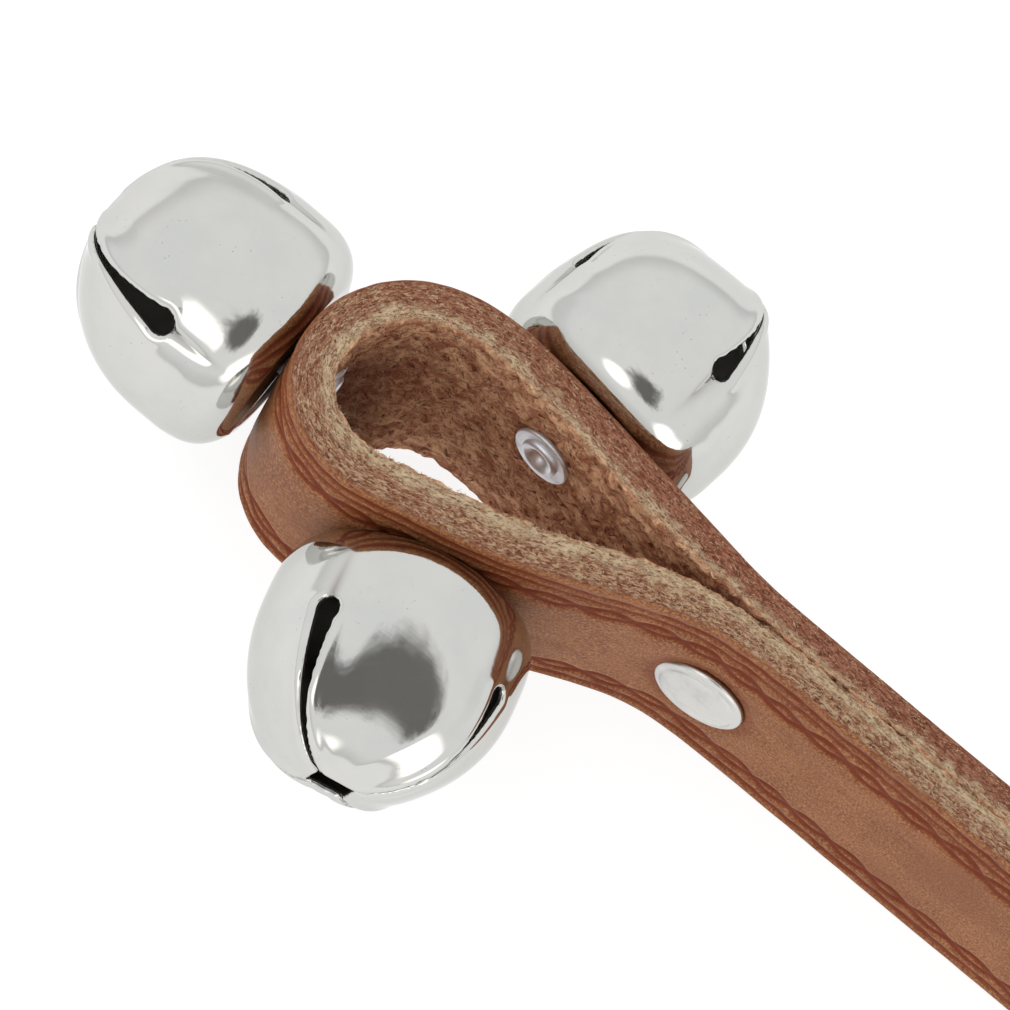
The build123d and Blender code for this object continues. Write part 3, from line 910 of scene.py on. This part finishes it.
class Nodes:
    """A node tree, and short names for the nodes it gets."""

    def __init__(self, tree):
        self.tree = tree

    def feed(self, socket, value):
        if isinstance(value, bpy.types.NodeSocket):
            self.tree.links.new(value, socket)
        else:
            socket.default_value = value

    def out(self, kind, output, inputs=(), **settings):
        """One output of a new node with these settings, and with values or sockets as its inputs."""
        made = self.tree.nodes.new("ShaderNode" + kind)
        for key, value in settings.items():
            setattr(made, key, value)
        for socket, value in dict(inputs).items():
            self.feed(made.inputs[socket], value)
        return made.outputs[output]

    def attribute(self, name, output="Fac"):
        return self.out("Attribute", output, attribute_name=name)

    def place(self, kind="Object"):
        return self.out("TexCoord", kind)

    def length(self, vector):
        return self.out("VectorMath", "Value", {0: vector}, operation="LENGTH")

    def stretched(self, vector, scale):
        return self.out("Mapping", "Vector", {"Vector": vector, "Scale": scale})

    def noise(self, vector, scale, detail=4.0, rough=0.55, warp=0.0):
        inputs = {"Scale": scale, "Detail": detail, "Roughness": rough, "Distortion": warp}
        return self.out("TexNoise", "Fac", {"Vector": vector, **inputs})

    def cells(self, vector, scale):
        return self.out("TexVoronoi", "Distance", {"Vector": vector, "Scale": scale})

    def math(self, operation, first, second):
        return self.out("Math", 0, {0: first, 1: second}, operation=operation)

    def times(self, first, second):
        return self.math("MULTIPLY", first, second)

    def plus(self, first, second):
        return self.math("ADD", first, second)

    def remap(self, value, low, high, to_low=0.0, to_high=1.0):
        inputs = zip(RANGE_SOCKETS, (value, low, high, to_low, to_high))
        return self.out("MapRange", "Result", inputs, interpolation_type="SMOOTHSTEP")

    def mix(self, share, first, second, kind="RGBA"):
        a, b, result = MIX_SOCKETS[kind]
        return self.out("Mix", result, {0: share, a: first, b: second}, data_type=kind)

    def layer(self, under, over, value, low, high, most=1.0):
        """One colour over another where a value rises from low to high, or falls if high is less."""
        return self.mix(self.remap(value, low, high, 0, most), under, over)

    def bump(self, height, strength, distance, **normal):
        inputs = {"Height": height, "Strength": strength, "Distance": distance}
        return self.out("Bump", "Normal", {**inputs, **normal})


class Shader(Nodes):
    """A principled material."""

    def __init__(self, name):
        self.material = bpy.data.materials.new(name)
        self.material.use_nodes = True
        super().__init__(self.material.node_tree)
        self.bsdf = self.tree.nodes["Principled BSDF"]

    def finish(self, colour, rough, normal, metal=0.0, specular=0.5):
        inputs = {"Base Color": colour, "Roughness": rough, "Normal": normal,
                  "Metallic": metal, "Specular IOR Level": specular}
        for socket, value in inputs.items():
            self.feed(self.bsdf.inputs[socket], value)
        return self.material


def leather_material():
    s = Shader("harness_leather")
    lay = s.attribute("lay", "Vector")
    grain, flesh = s.attribute("grain"), s.attribute("flesh")
    tool, dish, depth = s.attribute("tool"), s.attribute("dish"), s.attribute("depth")
    bleached = s.attribute("bleached")
    # grain side: mottled tan with fine speckle and pores
    broad = s.remap(s.noise(lay, 1.6, 5, 0.6), 0.3, 0.7)
    speckle = s.noise(lay, 34, 6, 0.7)
    face = s.mix(broad, GRAIN_DARK, GRAIN_LIGHT)
    face = s.layer(face, GRAIN_PALE, speckle, 0.5, 0.6, 0.85)
    face = s.layer(face, GRAIN_DEEP, speckle, 0.48, 0.38, 0.85)
    streak = s.noise(s.stretched(lay, (0.12, 1, 1)), 14, 4, 0.6)
    face = s.layer(face, GRAIN_DEEP, streak, 0.52, 0.75, 0.35)
    pores = s.cells(lay, 26)
    face = s.layer(face, TOOLED, pores, 0.22, 0.05, 0.45)
    stain = s.remap(s.noise(lay, 0.7, 3, 0.5), 0.5, 0.72, 0, 0.5)
    face = s.mix(stain, face, GRAIN_STAIN)
    face = s.mix(s.times(s.remap(tool, 0.05, 0.62), 0.9), face, TOOLED)
    face = s.mix(s.times(dish, 0.5), face, TOOLED)
    # cut edge: reddish fibres running along, paler and looser towards the flesh side
    fibre = s.noise(s.stretched(lay, (0.28, 1, 1)), 40, 5, 0.75, 0.6)
    fleck = s.noise(s.stretched(lay, (0.3, 1, 1)), 44, 4, 0.8, 0.4)
    warm = s.layer(EDGE_RED, EDGE_MIDDLE, bleached, 0, 0.8)
    raw = s.layer(EDGE_DARK, warm, fibre, 0.43, 0.57)
    patchy = s.plus(fleck, s.times(s.noise(lay, 5, 3), 0.12))
    patchy = s.plus(patchy, s.times(bleached, 0.1))
    raw = s.layer(raw, EDGE_PALE, patchy, 0.65, 0.72, 0.85)
    pit = s.noise(s.stretched(lay, (0.35, 1, 1)), 42, 4, 0.8)
    raw = s.layer(raw, EDGE_DEEP, pit, 0.46, 0.37, 0.85)
    wander = s.noise(s.stretched(lay, (0.5, 1, 0.2)), 9, 4, 0.7)
    border = s.plus(depth, s.times(wander, 0.9))
    border = s.plus(border, s.times(bleached, 0.12))
    strands = s.remap(s.noise(s.stretched(lay, (0.25, 1, 1)), 40, 5, 0.8, 0.8), 0.44, 0.54)
    loose = s.times(s.remap(border, 1.08, 1.38), strands)
    raw = s.mix(s.times(loose, 0.85), raw, FRINGE_PALE)
    # the cut edge is darker next to the grain side
    grain_side_dark = s.remap(depth, 0.2, 0.02, 0, 0.7)
    raw = s.mix(grain_side_dark, raw, EDGE_DARK)
    # flesh side: dark, matted, with pale hairs
    mat = s.noise(s.stretched(lay, (0.8, 1, 1)), 4, 7, 0.85, 0.6)
    hair = s.noise(s.stretched(lay, (0.8, 1, 0.8)), 11, 7, 0.88, 0.7)
    inner = s.layer(FLESH_DARK, FLESH_LIGHT, mat, 0.42, 0.6)
    inner = s.layer(inner, FRINGE_PALE, hair, 0.55, 0.66, 0.8)
    inner = s.layer(inner, FLESH_DEEP, hair, 0.49, 0.41, 0.9)
    # painted shade in the bend of the loop, over the flesh colour
    inner = s.mix(s.times(s.attribute("fold_shade"), 0.72), inner, FLESH_DEEP)
    colour = s.mix(flesh, raw, inner)
    colour = s.layer(colour, face, grain, 0.2, 0.9)
    # relief
    fine = s.plus(s.times(speckle, 0.5), s.times(s.remap(pores, 0, 0.3), 0.6))
    smooth_side = s.bump(fine, 0.35, 0.00012)
    ragged = s.plus(fibre, s.times(hair, 0.8))
    normal = s.mix(grain, s.bump(ragged, 0.9, 0.00022), smooth_side, "VECTOR")
    rough = s.math("SUBTRACT", 0.86, s.times(grain, s.remap(speckle, 0.3, 0.7, 0.44, 0.3)))
    return s.finish(colour, rough, normal, specular=0.1)


def fringe_material():
    s = Shader("leather_fibres")
    shade = s.attribute("shade")
    tone = s.noise(s.place(), 900, 3)
    colour = s.layer(EDGE_MIDDLE, FRINGE_PALE, shade, 0.15, 0.9)
    colour = s.layer(colour, EDGE_PALE, tone, 0.4, 0.7, 0.6)
    rough = s.remap(tone, 0.2, 0.8, 0.75, 0.95)
    return s.finish(colour, rough, s.bump(tone, 0.2, 0.00005), specular=0.25)


def nickel_material():
    s = Shader("polished_nickel")
    place = s.place()
    lip, crease, inside = s.attribute("lip"), s.attribute("crease"), s.attribute("inside")
    cloud = s.noise(place, 190, 4, 0.6)
    colour = s.layer(NICKEL_COOL, NICKEL_WARM, cloud, 0.3, 0.7)
    specks = s.cells(place, 1500)
    marks = s.times(s.remap(specks, 0.16, 0.08), s.remap(s.noise(place, 260, 3), 0.52, 0.66))
    colour = s.mix(s.times(marks, 0.5), colour, TARNISH)
    grime = s.times(crease, s.remap(cloud, 0.3, 0.6, 0.35, 0.7))
    colour = s.mix(grime, colour, TARNISH)
    colour = s.mix(s.times(inside, 0.4), colour, TARNISH)
    rub = s.noise(s.stretched(place, (1, 1, 0.2)), 2200, 3, 0.7)
    rough = s.plus(s.remap(cloud, 0.35, 0.7, 0.045, 0.1), s.remap(rub, 0.55, 0.75, 0, 0.07))
    rough = s.plus(rough, s.times(inside, 0.25))
    rough = s.plus(rough, s.remap(lip, 0.5, 0.05, 0, 0.06))
    wave = s.bump(s.noise(place, 120, 2, 0.4), 0.16, 0.0006)
    scratch = s.bump(s.noise(s.stretched(place, (0.1, 1, 1)), 3200, 2, 0.6), 0.05, 0.00004, Normal=wave)
    s.bsdf.inputs["Specular Tint"].default_value = (0.84, 0.84, 0.83, 1)
    return s.finish(colour, rough, scratch, metal=1.0)


def rivet_material(name, bright, least_rough, most_rough):
    s = Shader(name)
    place = s.place()
    cloud = s.noise(place, 320, 5, 0.65)
    colour = s.layer(bright, RIVET_GREY, cloud, 0.45, 0.85)
    specks = s.cells(place, 1100)
    colour = s.layer(colour, TARNISH, specks, 0.12, 0.05, 0.2)
    rough = s.remap(cloud, 0.3, 0.75, least_rough, most_rough)
    fine = s.bump(s.noise(place, 2600, 4, 0.7), 0.12, 0.00005)
    return s.finish(colour, rough, fine, metal=1.0)


def steel_material():
    s = Shader("pellet_steel")
    place = s.place()
    cloud = s.noise(place, 420, 5, 0.6)
    colour = s.layer(STEEL_GREY, TARNISH, cloud, 0.35, 0.7)
    rough = s.remap(cloud, 0.3, 0.7, 0.28, 0.5)
    return s.finish(colour, rough, s.bump(s.noise(place, 1800, 4), 0.2, 0.00006), metal=1.0)


def wear(piece, material):
    piece.data.materials.append(material)


# ---- put the object together ----
leather = leather_material()
nickel = nickel_material()
cap_metal = rivet_material("rivet_nickel", NICKEL_WARM, 0.24, 0.4)
# painted light: the washers and bell rivets inside the loop get a brighter nickel than the caps
lit_washer_metal = rivet_material("washer_nickel_painted_light", WASHER_PAINTED_LIGHT, 0.42, 0.6)
steel = steel_material()

strap = build_strap()
wear(strap, leather)
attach(strap, "strap_and_rivets")
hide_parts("strap")

fringe = build_fringe()
wear(fringe, fringe_material())
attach(fringe, "strap_and_rivets")

for name in BELL_TURNS:
    shell = build_shell(name)
    wear(shell, nickel)
    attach(shell, f"{name}_bell")
    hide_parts(f"{name}_bell_shell")
    rivet, washer = build_fastening(name)
    for piece, node in ((rivet, f"{name}_bell_rivet"), (washer, f"{name}_bell_washer")):
        wear(piece, lit_washer_metal)
        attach(piece, "strap_and_rivets")
        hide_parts(node)
    ball = build_pellet(name)
    wear(ball, steel)
    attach(ball, f"{name}_pellet")
    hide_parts(f"{name}_bell_pellet")

for name in CAP_RIVETS:
    first, second = build_caps(name)
    for piece, node in ((first, f"{name}_rivet_front_cap"), (second, f"{name}_rivet_back_post")):
        wear(piece, cap_metal)
        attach(piece, "strap_and_rivets")
        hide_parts(node)


# ---- studio ----
def view_axes():
    """Directions to the right and top of the picture, and back from the object to the camera."""
    azimuth, elevation, roll = (math.radians(a) for a in (VIEW_AZIMUTH, VIEW_ELEVATION, VIEW_ROLL))
    back = Vector((math.sin(azimuth) * math.cos(elevation), -math.cos(azimuth) * math.cos(elevation),
                   math.sin(elevation)))
    level = Vector((0, 0, 1)).cross(back).normalized()
    upright = back.cross(level)
    right = level * math.cos(roll) + upright * math.sin(roll)
    top = upright * math.cos(roll) - level * math.sin(roll)
    return right, top, back


RIGHT, TOP, BACK = view_axes()
AIM = Vector(((VIEW_TARGET[0] + SHIFT[0]) * MM, (VIEW_TARGET[1] + SHIFT[1]) * MM, MID_Z * MM))


def set_up_camera():
    data = bpy.data.cameras.new("photo_view")
    data.sensor_width = SENSOR
    data.lens = SENSOR * PIXELS_PER_MM * VIEW_DISTANCE / IMAGE_SIDE
    data.clip_start, data.clip_end = 0.02, 20
    camera = linked("photo_view", data)
    turned = Matrix((RIGHT, TOP, BACK)).transposed().to_4x4()
    camera.matrix_world = Matrix.Translation(AIM + BACK * VIEW_DISTANCE * MM) @ turned
    bpy.context.scene.camera = camera


def card(name, right, top, distance, half_size, brightness, soft, grain=0.0):
    """Round card, seen only in reflections, that faces the bells. It stands in the camera's
    direction turned by two angles, towards the picture's right and top."""
    turn = BACK.copy()
    turn.rotate(Matrix.Rotation(math.radians(right), 3, TOP))
    turn.rotate(Matrix.Rotation(math.radians(-top), 3, RIGHT))
    mesh = bpy.data.meshes.new(name)
    mesh.from_pydata([(-1, -1, 0), (1, -1, 0), (1, 1, 0), (-1, 1, 0)], [], [(0, 1, 2, 3)])
    panel = linked(name, mesh)
    facing = turn.to_track_quat("Z", "Y").to_matrix().to_4x4()
    size = Matrix.Diagonal((*half_size, 1, 1))
    panel.matrix_world = Matrix.Translation(AIM + turn * distance) @ facing @ size
    s = Shader(name)
    place = s.place()
    mottle = s.times(s.noise(place, 3.5, 5, 0.7), grain)
    clear = s.remap(s.plus(s.length(place), mottle), 1 - soft + grain / 2, 1 + grain / 2)
    glow = s.out("Emission", 0, {"Color": CARD_WARMTH, "Strength": brightness})
    both = s.out("MixShader", 0, {0: clear, 1: glow, 2: s.out("BsdfTransparent", 0)})
    s.feed(s.tree.nodes["Material Output"].inputs["Surface"], both)
    mesh.materials.append(s.material)
    panel.visible_camera = False
    panel.visible_diffuse = False
    panel.visible_shadow = False


def set_up_floor():
    bm = bmesh.new()
    bmesh.ops.create_grid(bm, x_segments=2, y_segments=2, size=FLOOR_HALF)
    floor = bmesh_object("floor", bm)
    s = Shader("floor_paper")
    fibres = s.noise(s.place(), 400, 4)
    relief = s.bump(fibres, 0.05, 0.00002)
    s.finish((0.2, 0.2, 0.2, 1), s.remap(fibres, 0, 1, 0.9, 1), relief, specular=0.1)
    s.bsdf.inputs["Emission Color"].default_value = (1, 1, 1, 1)
    glow = s.remap(s.length(s.place()), *FLOOR_FADE, FLOOR_GLOW, FLOOR_GLOW_FAR)
    s.feed(s.bsdf.inputs["Emission Strength"], glow)
    floor.data.materials.append(s.material)


def set_up_lights():
    world = bpy.data.worlds.new("tent")
    world.use_nodes = True
    w = Nodes(world.node_tree)
    height = w.out("SeparateXYZ", "Z", {0: w.place("Generated")})
    background = w.tree.nodes["Background"]
    background.inputs["Color"].default_value = (1, 1, 1, 1)
    w.feed(background.inputs["Strength"], w.remap(height, *TENT_RISE, TENT_LOW, TENT))
    bpy.context.scene.world = world
    data = bpy.data.lights.new("softbox", "AREA")
    data.shape = "DISK"
    data.size = SOFTBOX_SIZE
    data.energy = SOFTBOX_WATTS
    lamp = linked("softbox", data)
    side = (TOP * 0.75 - RIGHT * 0.35 + BACK).normalized()
    facing = side.to_track_quat("Z", "Y").to_matrix().to_4x4()
    lamp.matrix_world = Matrix.Translation(AIM + side * SOFTBOX_DISTANCE) @ facing
    lamp.visible_glossy = False


set_up_floor()
set_up_lights()
card("camera_shade", 7, -13, distance=0.36, half_size=(0.165, 0.165), brightness=0.2, soft=0.55, grain=0.9)
card("left_window", -27, -12, distance=0.5, half_size=(0.14, 0.17), brightness=2.2, soft=0.5)
card("low_window", 16, -62, distance=0.5, half_size=(0.24, 0.13), brightness=2.2, soft=0.5)
set_up_camera()
bpy.context.scene.view_settings.view_transform = "Standard"

bpy.context.view_layer.update()
